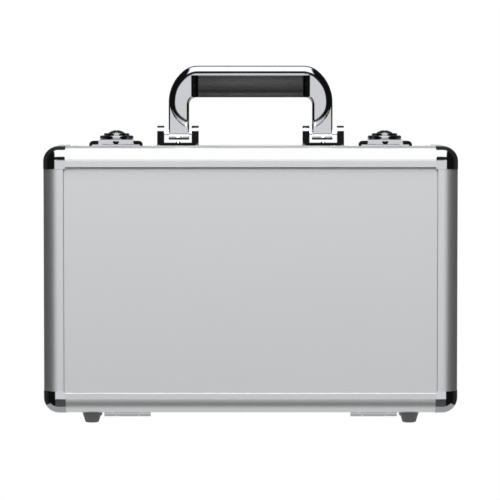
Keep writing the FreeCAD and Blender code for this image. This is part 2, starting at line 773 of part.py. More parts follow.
def strike(side, centre):
    """A plate on the lid with two round-shouldered cheeks and a peg, between which the flap closes."""
    name = f"{side}_latch_strike"
    half = size.strike_half
    inside = size.latch_half + 0.4
    plate_y, plate_round = (parting - 10.5, parting - 0.6), 3.0
    cheek_y, cheek_z, cheek_round, cheek_lean = (parting - 10.3, parting - 1.2), (top, top + 4.3), 3.4, 0.8
    peg_half, peg_y, peg_z, peg_lean = 1.9, (parting - 9.4, parting - 6.4), (top, top + 3.6), 0.7
    plate = block(name + "_plate", (centre - half, centre + half), plate_y, (top, top + size.leaf_gauge))
    shapes = [rounded(name + "_plate_round", plate, plate_round, runs_along("Z"))]
    for end, x in (("low", (centre - half, centre - inside)), ("high", (centre + inside, centre + half))):
        cheek = drafted(f"{name}_cheek_{end}", x, cheek_y, cheek_z, cheek_lean)
        outer_x = x[0] if end == "low" else x[1]
        shapes.append(rounded(f"{name}_cheek_{end}_round", cheek, cheek_round, runs_along("Y"),
                              lies_at("X", outer_x), lies_at("Z", cheek_z[1])))
    shapes.append(drafted(name + "_peg", (centre - peg_half, centre + peg_half), peg_y, peg_z, peg_lean))
    pieces.append(fuse(name, *shapes))


def latch_base(side, centre):
    """A plate on the base with two ears for the flap's hinge pin."""
    name = f"{side}_latch_base"
    half = size.latch_half - 0.8
    pivot = (size.latch_pivot_y, top + size.latch_pivot_z)
    ear, ear_wide = 2.4, 3.4
    plate_y = (parting + 0.6, size.latch_pivot_y + 3.0)
    ear_y = (pivot[0] - ear, pivot[0] + ear)
    shapes = [block(name + "_plate", (centre - half, centre + half), plate_y, (top, top + size.leaf_gauge))]
    for end, x in (("low", centre - half), ("high", centre + half - ear_wide)):
        shapes.append(block(f"{name}_ear_{end}", (x, x + ear_wide), ear_y, (top, pivot[1])))
        shapes.append(rod(f"{name}_eye_{end}", ear, ear_wide, (x, *pivot), "X"))
    bore = rod(name + "_bore", size.latch_pin_radius + PIN_PLAY, size.latch_half * 2 + OVER,
               (centre - size.latch_half, *pivot), "X")
    pieces.append(cut(name, fuse(name + "_whole", *shapes), bore))
    return rod(f"{side}_latch_pin", size.latch_pin_radius, 2 * half, (centre - half, *pivot), "X")


def latch_flap(side, centre):
    """The flap: a plate with a notched front lip, a stepped round boss and a knuckle on the pin."""
    name = f"{side}_latch_flap"
    half = size.latch_half
    plate_z = (top + 4.0, top + 5.2)
    lip_front, lip_low, lip_gauge = parting - 9.6, top + 1.6, 1.5
    lip_y, lip_z = (lip_front, lip_front + lip_gauge), (lip_low, plate_z[1])
    pivot = (size.latch_pivot_y, top + size.latch_pivot_z)
    neck, knuckle, plate_rear, neck_front = 9.6, 2.2, pivot[0] - 3.6, pivot[0] - 4.0
    disc_low, disc_tall, disc_round = top + 5.0, 3.6, 1.4
    step_low, step_tall, step_round, step_in = top + 8.2, 2.2, 0.8, 3.4
    notch_half, barrel_play = 2.5, 0.1
    disc = rod(name + "_disc", size.disc_radius, disc_tall, (centre, size.disc_y, disc_low), "Z")
    step = rod(name + "_step", size.disc_radius - step_in, step_tall, (centre, size.disc_y, step_low), "Z")
    shapes = [
        block(name + "_plate", (centre - half, centre + half), (lip_front, plate_rear), plate_z),
        block(name + "_lip", (centre - half, centre + half), lip_y, lip_z),
        block(name + "_neck", (centre - neck, centre + neck), (neck_front, pivot[0]), plate_z),
        rod(name + "_knuckle", knuckle, 2 * neck, (centre - neck, *pivot), "X"),
        rounded(name + "_disc_round", disc, disc_round, is_level),
        rounded(name + "_step_round", step, step_round, lies_at("Z", step_low + step_tall)),
    ]
    whole = fuse(name + "_whole", *shapes)
    notch_y, barrel_tall = (lip_front - OVER, lip_y[1]), step_low + step_tall + OVER - lip_low
    notch = block(name + "_notch", (centre - notch_half, centre + notch_half), notch_y, (top, plate_z[0]))
    barrel = rod(name + "_barrel_hole", size.barrel_radius + barrel_play, barrel_tall,
                 (centre, size.disc_y, lip_low), "Z")
    bore = rod(name + "_bore", size.latch_pin_radius + PIN_PLAY, 2 * half, (centre - half, *pivot), "X")
    pieces.append(cut(name, whole, notch, barrel, bore))


def lock_cylinder(side, centre, sign):
    """Domed key cylinder through the boss, with a cam under the flap and a key slot."""
    name = f"{side}_lock_cylinder"
    radius = size.barrel_radius
    low, rim, crown, dome_radius = 3.2, 10.9, 13.0, 11.5
    cam_half, cam_reach, cam_z = 3.0, 10.0, (top + 2.3, top + 3.4)
    slot_half, slot_reach, slot_floor = 0.6, 3.2, 10.0
    dome = turned(name + "_dome", [(0.0, low), (radius, low), (radius, rim, dome_radius), (0.0, crown)],
                  (centre, size.disc_y, top), "Z")
    cam_x = ordered(centre - sign * cam_half, centre + sign * cam_reach)
    cam = block(name + "_cam", cam_x, (size.disc_y - cam_half, size.disc_y + cam_half), cam_z)
    slot = block(name + "_key_slot", (centre - slot_half, centre + slot_half),
                 (size.disc_y - slot_reach, size.disc_y + slot_reach), (top + slot_floor, top + crown + OVER))
    pieces.append(cut(name, fuse(name + "_whole", dome, cam), slot))


def latches():
    pins = []
    for side, sign in SIDES:
        centre = sign * size.latch_offset
        strike(side, centre)
        pins.append(latch_base(side, centre))
        latch_flap(side, centre)
        lock_cylinder(side, centre, sign)
    pieces.append(group("latch_pins", *pins))


# Rivets

def rivet(name, at, down=False):
    """A low rivet head on a plate."""
    x, y, z = at
    wide, narrow, tall = 2.0, 1.4, 0.7
    if down:
        return taper(name, narrow, wide, tall, (x, y, z - tall), "Z")
    return taper(name, wide, narrow, tall, (x, y, z), "Z")


def rivets():
    """Rivets through the brackets, latch plates and hinge leaves."""
    lid, base = [], []
    latch_step, bracket_step, leaf_step = 9.5, 7.0, 12.0
    strike_y, latch_y, leaf_y = parting - 4.0, as_size(6.5), 7.5
    plate_top, foot_top, leaf_under = top + size.leaf_gauge, top + size.bracket_foot, bottom - size.leaf_gauge
    for side, sign in SIDES:
        latch_x = sign * size.latch_offset
        bracket_x = sign * size.bracket_offset
        hinge_x = sign * size.hinge_offset
        for end, step in (("low", -1), ("high", 1)):
            name = f"{side}_{end}"
            leaf_x = hinge_x + step * leaf_step
            bracket_y = size.handle_y + step * bracket_step
            lid.append(rivet(f"strike_rivet_{name}", (latch_x + step * latch_step, strike_y, plate_top)))
            base.append(rivet(f"latch_rivet_{name}", (latch_x + step * latch_step, latch_y, plate_top)))
            base.append(rivet(f"bracket_rivet_{name}", (bracket_x, bracket_y, foot_top)))
            lid.append(rivet(f"lid_leaf_rivet_{name}", (leaf_x, parting - leaf_y, leaf_under), True))
            base.append(rivet(f"base_leaf_rivet_{name}", (leaf_x, parting + leaf_y, leaf_under), True))
    pieces.append(group("lid_rivets", *lid))
    pieces.append(group("base_rivets", *base))


# Tools: the room in a square hole, round a tool in the tray and behind it

TOOL_PLAY = 0.1
POCKET_PLAY = 0.4
FLOOR_PLAY = 0.2


def sockets():
    """Six-point sockets that stand in the tray with their mouths towards the lid."""
    holes = []
    least_tail, bevel = 11.0, 0.8
    length, drive = size.socket_length, size.drive_square + TOOL_PLAY
    waist_low, waist_high = length * 0.5 - 3.0, length * 0.5 + 1.0
    drive_deep = length * 0.45
    for flats, x, z in SOCKETS:
        name = f"socket_{flats}mm"
        hex_size = as_size(flats)
        mouth = (hex_size * 1.35 + 2.0) / 2
        tail = as_size(max(least_tail, mouth.value - 0.6))
        profile = [(0.0, 0.0), (mouth - bevel, 0.0), (mouth, bevel), (mouth, waist_low), (tail, waist_high)]
        profile += ring_groove(tail, length - 9.0)
        profile += [(tail, length - bevel), (tail - bevel, length), (0.0, length)]
        body = turned(name, profile, (x, size.socket_mouth, z), "Y")
        sunk(body, name + "_hexagon", hexagon(hex_size), 0.0, size.socket_hex_deep, True)
        sunk(body, name + "_drive", square(drive), length, drive_deep, False)
        sunk(body, name + "_through", square(as_size(min(drive.value, flats * 0.7))), 0.0, length, True)
        pieces.append(body)
        hole_radius = max(mouth.value, tail.value) + POCKET_PLAY
        hole_deep = size.socket_mouth + length + FLOOR_PLAY - size.tray_face
        holes.append(rod(name + "_hole", hole_radius, hole_deep, (x, size.tray_face, z), "Y"))
    return holes


def ring_groove(radius, start):
    """Corners of a shallow groove round a socket, from a height up its side."""
    deep, slope, floor = 0.5, 0.5, 1.5
    return [(radius, start), (radius - deep, start + slope), (radius - deep, start + slope + floor),
            (radius, start + 2 * slope + floor)]


def extension_bars():
    """Bars with a square drive on one end and a square hole on the other."""
    holes = []
    y, z = size.tool_y, size.extension_z
    half = size.drive_square / 2
    hole_half = half + TOOL_PLAY / 2
    nose, nose_long, head, head_long, flare_long = 7.0, 3.0, 11.5, 26.0, 6.0
    drive_long, drive_round, lap, hole_deep = 17.0, 1.0, 2.0, 18.0
    room, end_room = head + 2 * POCKET_PLAY, 1.0
    for name, low, high in EXTENSIONS:
        low, high = as_size(low), as_size(high)
        nose_x, head_x = low + drive_long - lap, high - head_long
        bar_x, flare_x = nose_x + nose_long, head_x - flare_long
        drive = block(name + "_drive", (low, low + drive_long), (y - half, y + half), (z - half, z + half))
        shapes = [
            rounded(name + "_drive_round", drive, drive_round, runs_along("X")),
            taper(name + "_nose", nose, size.bar_radius, nose_long, (nose_x, y, z), "X"),
            rod(name + "_bar", size.bar_radius, flare_x - bar_x, (bar_x, y, z), "X"),
            taper(name + "_flare", size.bar_radius, head, flare_long, (flare_x, y, z), "X"),
            rod(name + "_head", head, head_long, (head_x, y, z), "X"),
        ]
        hole = block(name + "_hole", (high - hole_deep, high + OVER), (y - hole_half, y + hole_half),
                     (z - hole_half, z + hole_half))
        pieces.append(cut(name, fuse(name + "_whole", *shapes), hole))
        holes.append(block(name + "_pocket", (low - end_room, high + end_room),
                           (size.tray_face, y + head + FLOOR_PLAY), (z - room, z + room)))
    return holes


def plug_socket():
    """Long spark plug socket lying in the tray, its hexagon to the right."""
    name = "spark_plug_socket"
    spot = PLUG_SOCKET
    length, radius = as_size(spot.high - spot.low), as_size(spot.radius)
    bevel, room, end_room = 0.8, spot.radius + 2 * POCKET_PLAY, 1.0
    profile = [(0.0, 0.0), (radius - bevel, 0.0), (radius, bevel)]
    profile += ring_groove(radius, length - 8.0)
    profile += [(radius, length - bevel), (radius - bevel, length), (0.0, length)]
    body = turned(name, profile, (spot.low, size.tool_y, spot.z), "X")
    sunk(body, name + "_hexagon", hexagon(as_size(spot.hexagon)), length, length * 0.7, False)
    sunk(body, name + "_drive", square(size.drive_square + TOOL_PLAY), 0.0, length, True)
    pieces.append(body)
    pocket_y = (size.tray_face, size.tool_y + spot.radius + FLOOR_PLAY)
    return [block(name + "_pocket", (spot.low - end_room, spot.high + end_room), pocket_y,
                  (spot.z - room, spot.z + room))]


# Teeth of the ratchet's gear, and the closed end of its grip.
GEAR_TEETH = 24
GRIP_END = 5.0


def ratchet():
    """Ratchet lying with its drive square down in the tray, selector and release button up."""
    x, z = size.ratchet_x, size.ratchet_z
    deep, head = size.ratchet_head_deep, size.ratchet_head_radius
    middle_y = deep / 2
    neck_x, neck, edge_round = x - 20.0, 11.0, 2.0
    grip_low, grip_high = x - 205.0, x - 110.0
    gear_y, gear, hub, key_long = (as_size(2.4), as_size(12.0)), 12.6, 9.7, 15.0
    cavity, cavity_deep, mouth = 13.2, 14.0, 10.0

    head_rod = rod("ratchet_head_rod", head, deep, (x, 0.0, z), "Y")
    neck_rod = rod("ratchet_neck_rod", neck, deep, (neck_x, 0.0, z), "Y")
    shank, shank_end, tang, lap = 6.5, 8.0, 5.9, 5.0
    pawl_low, pawl_high, pawl_half, pawl_play = x - 22.0, x - 10.0, 4.6, 0.3
    stem = 3.0
    whole = fuse(
        "ratchet_whole",
        rounded("ratchet_head", head_rod, edge_round, lies_at("Y", deep)),
        rounded("ratchet_neck", neck_rod, edge_round, lies_at("Y", deep)),
        taper("ratchet_shank", shank, shank_end, neck_x - lap - grip_high, (grip_high, middle_y, z), "X"),
        rod("ratchet_tang", tang, grip_high - grip_low, (grip_low + GRIP_END, middle_y, z), "X"),
    )
    room_z = (z - pawl_half - pawl_play, z + pawl_half + pawl_play)
    pieces.append(cut(
        "ratchet_body", whole,
        rod("ratchet_cavity", cavity, cavity_deep + OVER, (x, -OVER, z), "Y"),
        rod("ratchet_mouth", mouth, deep, (x, OVER, z), "Y"),
        block("ratchet_pawl_room", (pawl_low, pawl_high), gear_y, room_z),
        rod("ratchet_selector_hole", stem + TOOL_PLAY, 3.0 + OVER, (neck_x, -OVER, z), "Y"),
    ))

    cover_gauge, cover_hole = 1.8, 5.0
    cover = rod("ratchet_cover_disc", cavity, cover_gauge, (x, 0.0, z), "Y")
    pieces.append(cut("ratchet_cover", cover,
                      rod("ratchet_cover_hole", cover_hole, cover_gauge + 2 * OVER, (x, -OVER, z), "Y")))

    half, lap, key_round = size.drive_square / 2, 0.5, 1.0
    button, bore_deep = 3.1, 12.0
    key = block("drive_key_block", (x - half, x + half), (deep - lap, deep + key_long), (z - half, z + half))
    spindle = fuse(
        "drive_spindle_whole",
        rod("drive_gear", gear, gear_y[1] - gear_y[0], (x, gear_y[0], z), "Y"),
        rod("drive_hub", hub, deep - gear_y[1] + lap, (x, gear_y[1] - lap, z), "Y"),
        rounded("drive_key", key, key_round, runs_along("Y")),
    )
    bore = rod("drive_bore", button + TOOL_PLAY, bore_deep, (x, OVER, z), "Y")
    gaps = [tooth_gap(index, gear, x, gear_y, z) for index in range(GEAR_TEETH)]
    pieces.append(cut("drive_spindle", spindle, bore, *gaps))

    pawl = block("ratchet_pawl_block", (pawl_low, pawl_high), (gear_y[0] + pawl_play, gear_y[1] - pawl_play),
                 (z - pawl_half, z + pawl_half))
    pieces.append(cut("ratchet_pawl", pawl, rod("ratchet_pawl_curve", gear + 0.4, deep, (x, -OVER, z), "Y")))

    lever_y, lever_long, lever_half, lever_round = (as_size(-3.4), as_size(-0.5)), 14.0, 2.6, 1.2
    boss, stem_long = 5.4, 3.0
    tab = block("selector_tab", (neck_x - lever_long, neck_x), lever_y, (z - lever_half, z + lever_half))
    pieces.append(fuse(
        "selector_lever",
        rounded("selector_tab_round", tab, lever_round, lies_at("X", neck_x - lever_long)),
        rod("selector_boss", boss, lever_y[1] - lever_y[0], (neck_x, lever_y[0], z), "Y"),
        rod("selector_stem", stem, stem_long, (neck_x, -OVER, z), "Y"),
    ))

    button_y, button_long, button_round = as_size(-2.8), 10.4, 0.8
    plain = rod("release_button_rod", button, button_long, (x, button_y, z), "Y")
    pieces.append(rounded("release_button", plain, button_round, lies_at("Y", button_y)))
    pieces.append(ratchet_grip(grip_low, grip_high, middle_y, z))
    return ratchet_pockets(x, neck_x, grip_low, grip_high, middle_y, z)


def ratchet_pockets(x, neck_x, grip_low, grip_high, middle_y, z):
    """The hollows in the tray that the ratchet lies in."""
    deep, face = size.ratchet_head_deep, size.tray_face
    head, neck, key = size.ratchet_head_radius + 1.0, 12.5, 11.0
    key_deep, shank, grip, grip_room, end_room = deep + 15.0 + OVER, 9.5, 12.6, 14.2, 1.5
    head_deep = deep + FLOOR_PLAY - face
    return [
        rod("tray_head", head, head_deep, (x, face, z), "Y"),
        rod("tray_neck", neck, head_deep, (neck_x, face, z), "Y"),
        rod("tray_drive", key, key_deep - face, (x, face, z), "Y"),
        block("tray_shank", (grip_high, x), (face, middle_y + shank), (z - shank, z + shank)),
        block("tray_grip", (grip_low - end_room, grip_high + end_room), (face, middle_y + grip + FLOOR_PLAY),
              (z - grip_room, z + grip_room)),
    ]


def tooth_gap(index, radius, x, gear_y, z):
    """One gap between two teeth of the drive gear."""
    gap_radius, gap_long = 0.9, gear_y[1] - gear_y[0] + 2 * OVER
    gap = rod(f"drive_gap_{index}", gap_radius, gap_long, (x, gear_y[0] - OVER, z), "Y")
    out = Rotation(Vector(0, 1, 0), 360.0 * index / GEAR_TEETH).multVec(Vector(radius, 0, 0))
    bind(gap, "Placement.Base.x", x + out.x)
    bind(gap, "Placement.Base.z", z + out.z)
    return gap


def ratchet_grip(low, high, y, z):
    """Moulded handle sleeve with finger rings and a rounded end."""
    bore, slim, full = 6.0, 11.0, 12.6
    length = high - low
    rings, first_ring, slope = 5, 14.0, 3.0
    nose_round, tail_long, tail = 4.6, 6.0, slim - 1.5
    pitch = (length - 30.0) / rings
    profile = [(bore, GRIP_END), (0.0, GRIP_END), (0.0, 0.0), (full - nose_round, 0.0, nose_round),
               (full, nose_round), (full, first_ring)]
    for index in range(rings):
        start = first_ring + pitch * index
        profile += [(slim, start + slope), (slim, start + pitch - slope), (full, start + pitch)]
    profile += [(full, length - tail_long), (tail, length), (bore, length)]
    return turned("ratchet_grip", profile, (low, y, z), "X")


def tool_tray(holes):
    """Moulded tray in the base with a pocket for each tool."""
    back = rear - size.skin - size.board - LINING_PLAY
    tray = prism("tool_tray_block", size.lining_inset, (size.tray_face, back))
    pieces.append(cut("tool_tray", tray, *holes))


def check_and_write():
    """Stops on any failed object, then writes each piece to its own file."""
    doc.recompute()
    failed = [thing.Label for thing in doc.Objects if {"Invalid", "Error"} & set(thing.State)]
    if failed:
        raise RuntimeError(f"failed objects: {failed}")
    for piece in pieces:
        if piece.Shape.isNull() or not piece.Shape.isValid() or not piece.Shape.Solids:
            raise RuntimeError(f"bad shape: {piece.Label}")
    os.makedirs("parts", exist_ok=True)
    for piece in pieces:
        piece.Shape.exportStep(f"parts/{piece.Label}.step")
        box = piece.Shape.BoundBox
        print(f"{piece.Label}: {len(piece.Shape.Solids)} solid(s), {piece.Shape.Volume / 1000:.2f} cm3, "
              f"x {box.XMin:.1f}..{box.XMax:.1f}, y {box.YMin:.1f}..{box.YMax:.1f}, "
              f"z {box.ZMin:.1f}..{box.ZMax:.1f}")
    print(len(pieces), "pieces")


half_case("lid", "front_panel", "front", front, -1)
half_case("base", "rear_panel", "rear", rear, 1)
mouth_frames()
lid_foam()
feet("front", -1)
feet("rear", 1)
hinges()
handle_brackets()
handle()
latches()
rivets()
tool_tray(sockets() + extension_bars() + plug_socket() + ratchet())
check_and_write()
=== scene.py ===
import math

import bmesh
import bpy
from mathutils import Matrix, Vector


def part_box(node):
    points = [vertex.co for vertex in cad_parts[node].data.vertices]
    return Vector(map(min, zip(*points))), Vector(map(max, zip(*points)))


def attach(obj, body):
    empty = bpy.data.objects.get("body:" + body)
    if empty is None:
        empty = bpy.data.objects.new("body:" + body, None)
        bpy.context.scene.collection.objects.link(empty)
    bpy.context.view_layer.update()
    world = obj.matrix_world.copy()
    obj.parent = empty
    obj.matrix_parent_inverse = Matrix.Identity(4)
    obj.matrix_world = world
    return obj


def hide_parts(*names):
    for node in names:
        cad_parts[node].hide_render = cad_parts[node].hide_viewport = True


# A socket wrench set in an aluminium carrying case: the case closed on its feet, the tools in their tray.

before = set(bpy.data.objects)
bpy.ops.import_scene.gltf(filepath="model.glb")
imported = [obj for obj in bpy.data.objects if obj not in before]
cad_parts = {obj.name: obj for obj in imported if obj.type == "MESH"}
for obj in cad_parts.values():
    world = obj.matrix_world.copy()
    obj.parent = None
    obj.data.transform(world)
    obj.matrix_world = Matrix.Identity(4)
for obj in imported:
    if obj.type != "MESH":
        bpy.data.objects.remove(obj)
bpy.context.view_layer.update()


# Wall boards and the two large panels.
# Fibreboard with a thin rolled aluminium sheet glued on, sawn to size and slid into the profiles.
# The sheet is etched and clear anodised, which gives an even, pale grey face with a very fine grain.

def linear(code):
    """Linear colour from an sRGB hex value."""
    shares = [int(code[place:place + 2], 16) / 255 for place in (1, 3, 5)]
    return tuple(s / 12.92 if s <= 0.04045 else ((s + 0.055) / 1.055) ** 2.4 for s in shares) + (1.0,)


def add(tree, kind, inputs, **settings):
    """Adds a node with its settings, and fills its inputs with values or with other nodes' outputs."""
    node = tree.nodes.new(kind)
    for name, value in settings.items():
        setattr(node, name, value)
    for name, value in inputs.items():
        if isinstance(value, bpy.types.NodeSocket):
            tree.links.new(value, node.inputs[name])
        else:
            node.inputs[name].default_value = value
    return node


def new_finish(name, colour, metallic, roughness):
    """A material with one plain shader, its node tree, that shader and the piece's own coordinates."""
    material = bpy.data.materials.new(name)
    material.use_nodes = True
    tree = material.node_tree
    shader = tree.nodes["Principled BSDF"]
    shader.inputs["Base Color"].default_value = linear(colour)
    shader.inputs["Metallic"].default_value = metallic
    shader.inputs["Roughness"].default_value = roughness
    place = add(tree, "ShaderNodeTexCoord", {}).outputs["Object"]
    return material, tree, shader, place


def per_metre(millimetres):
    """Texture scale for a pattern of this size."""
    return 1000.0 / millimetres


def clouds(tree, place, millimetres, detail):
    """A cloudy pattern of this size."""
    size = per_metre(millimetres)
    return add(tree, "ShaderNodeTexNoise", {"Vector": place, "Scale": size, "Detail": detail}).outputs["Fac"]


def maths(tree, operation, *terms):
    """The result of an operation on values or on other nodes' outputs."""
    return add(tree, "ShaderNodeMath", dict(enumerate(terms)), operation=operation).outputs[0]


def spread(tree, pattern, reach, values):
    """Spreads the reach of a pattern over a range of values."""
    node = add(tree, "ShaderNodeMapRange", {"Value": pattern, "From Min": reach[0], "From Max": reach[1],
                                            "To Min": values[0], "To Max": values[1]})
    return node.outputs["Result"]


def pressed_in(tree, pattern, strength, height):
    """The surface's normal with a pattern pressed into it."""
    node = add(tree, "ShaderNodeBump", {"Height": pattern, "Strength": strength, "Distance": height})
    return node.outputs["Normal"]


def follow(tree, shader, patterns):
    """Lets inputs of a shader follow patterns."""
    for name, pattern in patterns.items():
        tree.links.new(pattern, shader.inputs[name])


def dress(material, *nodes):
    """Gives CAD nodes a material in place of their own."""
    for node in nodes:
        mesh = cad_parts[node].data
        mesh.materials.clear()
        mesh.materials.append(material)


# Etched aluminium sheet: satin, a little rougher than the profiles. The clear layer on it scatters part of
# the light, so it isn't wholly metallic. The etch grain of about 0.2 mm is drawn 1 mm wide so that it shows.
sheet, tree, shader, place = new_finish("etched_aluminium_sheet", "#EDEEF0", 0.75, 0.65)
grain = clouds(tree, place, 1.0, 4.0)
blotch = clouds(tree, place, 70.0, 2.0)
mixed = maths(tree, "MULTIPLY_ADD", grain, 0.7, blotch)
follow(tree, shader, {"Roughness": spread(tree, mixed, (0.4, 1.2), (0.62, 0.68)),
                      "Normal": pressed_in(tree, grain, 0.05, 0.0002)})
dress(sheet, "front_panel", "rear_panel", "lid_wall_boards", "base_wall_boards")


# Edge profiles, corner posts and the two frames round the mouth.
# Aluminium extrusions, cut to length, bead blasted and clear anodised. They clamp the boards' edges.
# Blasting gives a satin that spreads the light into soft bands along the rounded edges.

# The profiles' inner edges lie this far from the panels' middle.
INNER_EDGE_X = 0.1528
INNER_EDGE_Z = 0.0923
PANEL_MIDDLE = 0.1185
# Width of the painted shade along the profiles' inner edges, and their roughness there.
EDGE_SHADE_WIDE = 0.0004
INNER_EDGE_ROUGH = 0.8


def between(tree, share, first, second):
    """The colour at a share of the way from one colour to another."""
    node = add(tree, "ShaderNodeMix", {0: share, 6: linear(first), 7: linear(second)}, data_type="RGBA")
    return node.outputs[2]


blasted, tree, shader, place = new_finish("blasted_aluminium_profile", "#F6F7F8", 0.94, 0.46)
grain = clouds(tree, place, 0.7, 3.0)
rough = spread(tree, grain, (0.3, 0.7), (0.44, 0.48))

# Painted shade: along the panels, the profiles' inner edges are coloured dark grey in place of the shade in
# the corner there, and they are made rougher.
parts = add(tree, "ShaderNodeSeparateXYZ", {"Vector": place})
aside = maths(tree, "ABSOLUTE", parts.outputs["X"])
above = maths(tree, "ABSOLUTE", maths(tree, "SUBTRACT", parts.outputs["Z"], PANEL_MIDDLE))
over_x = maths(tree, "SUBTRACT", aside, INNER_EDGE_X)
over_z = maths(tree, "SUBTRACT", above, INNER_EDGE_Z)
painted_edge_shade = spread(tree, maths(tree, "MAXIMUM", over_x, over_z), (0.0, EDGE_SHADE_WIDE), (1.0, 0.0))
dulled = add(tree, "ShaderNodeMix", {0: painted_edge_shade, 2: rough, 3: INNER_EDGE_ROUGH})
# The painted shade takes the inner edges' colour from the profile's pale grey to dark grey.
follow(tree, shader, {"Base Color": between(tree, painted_edge_shade, "#F6F7F8", "#6A6B6D"),
                      "Roughness": dulled.outputs[0],
                      "Normal": pressed_in(tree, grain, 0.04, 0.0002)})
dress(blasted, "front_edge_profiles", "rear_edge_profiles", "lid_corner_posts", "base_corner_posts",
      "lid_mouth_frame", "base_mouth_frame")


# Corner caps.
# Pressed steel, bright chrome plated, riveted over the ends of the profiles from the inside.
# Chrome mirrors the room, with a faint haze where it has been wiped.

chrome, tree, shader, place = new_finish("bright_chrome_plate", "#B7B9BC", 1.0, 0.06)
wiped = clouds(tree, place, 18.0, 5.0)
follow(tree, shader, {"Roughness": spread(tree, wiped, (0.35, 0.7), (0.04, 0.11))})
dress(chrome, "front_corner_caps", "rear_corner_caps")


# Hinges, pins, rivets and foot screws.
# Stamped and turned steel, zinc plated. The leaves are riveted under the bottom wall.
# Bright zinc is a bluish grey with soft blotches of a few millimetres.

zinc, tree, shader, place = new_finish("zinc_plated_steel", "#C6C9CC", 1.0, 0.12)
blotch = clouds(tree, place, 3.0, 4.0)
follow(tree, shader, {"Base Color": between(tree, blotch, "#BEC1C4", "#D2D4D6"),
                      "Roughness": spread(tree, blotch, (0.3, 0.7), (0.08, 0.16))})
dress(zinc, "left_hinge_lid_leaf", "right_hinge_lid_leaf", "left_hinge_base_leaf", "right_hinge_base_leaf",
      "hinge_pins", "handle_pins", "latch_pins", "lid_rivets", "base_rivets", "front_foot_screws",
      "rear_foot_screws")


# Lid foam.
# A convoluted polyurethane foam pad, cut on a profile cutter and glued in the lid. Its peaks press on
# the tools when the lid is shut. The cut leaves rows of rounded peaks and hollows, and open cells.

FOAM_PITCH = 0.0255
FOAM_DEEP = 0.009
FOAM_STEPS = 10
FOAM_CORNER = 0.005

foam_low, foam_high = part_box("lid_foam")
across = round((foam_high.x - foam_low.x) / FOAM_PITCH) * FOAM_STEPS
up = round((foam_high.z - foam_low.z) / FOAM_PITCH) * FOAM_STEPS


def pull_in(x, z):
    """Moves a point of the pad's rectangle inside its rounded corners."""
    middle_x, middle_z = (foam_low.x + foam_high.x) / 2, (foam_low.z + foam_high.z) / 2
    reach_x = (foam_high.x - foam_low.x) / 2 - FOAM_CORNER
    reach_z = (foam_high.z - foam_low.z) / 2 - FOAM_CORNER
    over_x, over_z = abs(x - middle_x) - reach_x, abs(z - middle_z) - reach_z
    if over_x <= 0 or over_z <= 0:
        return x, z
    far = max(over_x, over_z) / math.hypot(over_x, over_z)
    new_x, new_z = reach_x + over_x * far, reach_z + over_z * far
    return middle_x + math.copysign(new_x, x - middle_x), middle_z + math.copysign(new_z, z - middle_z)


def foam_face(column, row):
    """Height of the cut face at a grid point, as a share from hollow to peak."""
    wave_x = math.cos(2 * math.pi * column / FOAM_STEPS)
    wave_z = math.cos(2 * math.pi * row / FOAM_STEPS)
    return 0.5 + 0.25 * (wave_x + wave_z)


def new_piece(name, shape, material):
    """Makes a smooth object of a finished shape."""
    mesh = bpy.data.meshes.new(name)
    shape.to_mesh(mesh)
    shape.free()
    mesh.shade_smooth()
    mesh.materials.append(material)
    piece = bpy.data.objects.new(name, mesh)
    bpy.context.scene.collection.objects.link(piece)
    return piece


pad = bmesh.new()
grid = []
for row in range(up + 1):
    line = []
    for column in range(across + 1):
        x = foam_low.x + (foam_high.x - foam_low.x) * column / across
        z = foam_low.z + (foam_high.z - foam_low.z) * row / up
        x, z = pull_in(x, z)
        line.append(pad.verts.new((x, foam_high.y - FOAM_DEEP * (1 - foam_face(column, row)), z)))
    grid.append(line)
for line, above in zip(grid, grid[1:]):
    for column in range(across):
        pad.faces.new((line[column], above[column], above[column + 1], line[column + 1]))
rim = grid[0] + [line[-1] for line in grid[1:]] + grid[-1][-2::-1] + [line[0] for line in grid[-2:0:-1]]
back = [pad.verts.new((vert.co.x, foam_low.y, vert.co.z)) for vert in rim]
for index, vert in enumerate(rim):
    after = (index + 1) % len(rim)
    pad.faces.new((vert, rim[after], back[after], back[index]))
pad.faces.new(back)
bmesh.ops.recalc_face_normals(pad, faces=pad.faces)

# Polyurethane foam: matt charcoal. Its open cells of about 0.6 mm are drawn 1.2 mm wide so that they show.
foam, tree, shader, place = new_finish("charcoal_polyurethane_foam", "#2C2D30", 0.0, 0.95)
cells = add(tree, "ShaderNodeTexVoronoi", {"Vector": place, "Scale": per_metre(1.2)}).outputs["Distance"]
# Painted shade: the foam is coloured darker in the hollows of its cells, where the bump presses in.
shade = spread(tree, cells, (0.1, 0.7), (0.0, 1.0))
follow(tree, shader, {"Base Color": between(tree, shade, "#1B1C1E", "#3A3B3F"),
                      "Normal": pressed_in(tree, cells, 0.6, 0.0006)})
foam_pad = new_piece("convoluted_foam_pad", pad, foam)
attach(foam_pad, "lid")
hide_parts("lid_foam")


# Feet.
# Moulded rubber cups, each held under the case by one screw in its hollow.
# Dark grey, matt, with the faint unevenness of a moulded skin.

foot_rubber, tree, shader, place = new_finish("moulded_foot_rubber", "#66676A", 0.0, 0.5)
skin = clouds(tree, place, 1.5, 3.0)
follow(tree, shader, {"Base Color": between(tree, skin, "#5D5E60", "#717274"),
                      "Normal": pressed_in(tree, skin, 0.1, 0.0003)})
dress(foot_rubber, "front_feet", "rear_feet")


# Handle brackets and handle.
# Die cast zinc, polished and chrome plated. The legs turn on steel pins between the brackets' ears.
# The same bright plate as the corner caps.

dress(chrome, "left_handle_bracket", "right_handle_bracket", "handle_frame")


# Handle grip.
# A block of soft black rubber, moulded in the slot of the handle. Its front swells out under the arch.
# The mould is grained like leather, so the highlight along the grip breaks up into a fine pebble.

GRIP_STEPS = 12
GRIP_SWELL = 0.0112
GRIP_STEP_BACK = 0.0016
GRIP_UNDER = 0.0068
GRIP_EDGE = 0.0007

grip_low, grip_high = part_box("handle_grip")
grip_middle = (grip_low.y + grip_high.y) / 2
grip_half = (grip_high.y - grip_low.y) / 2


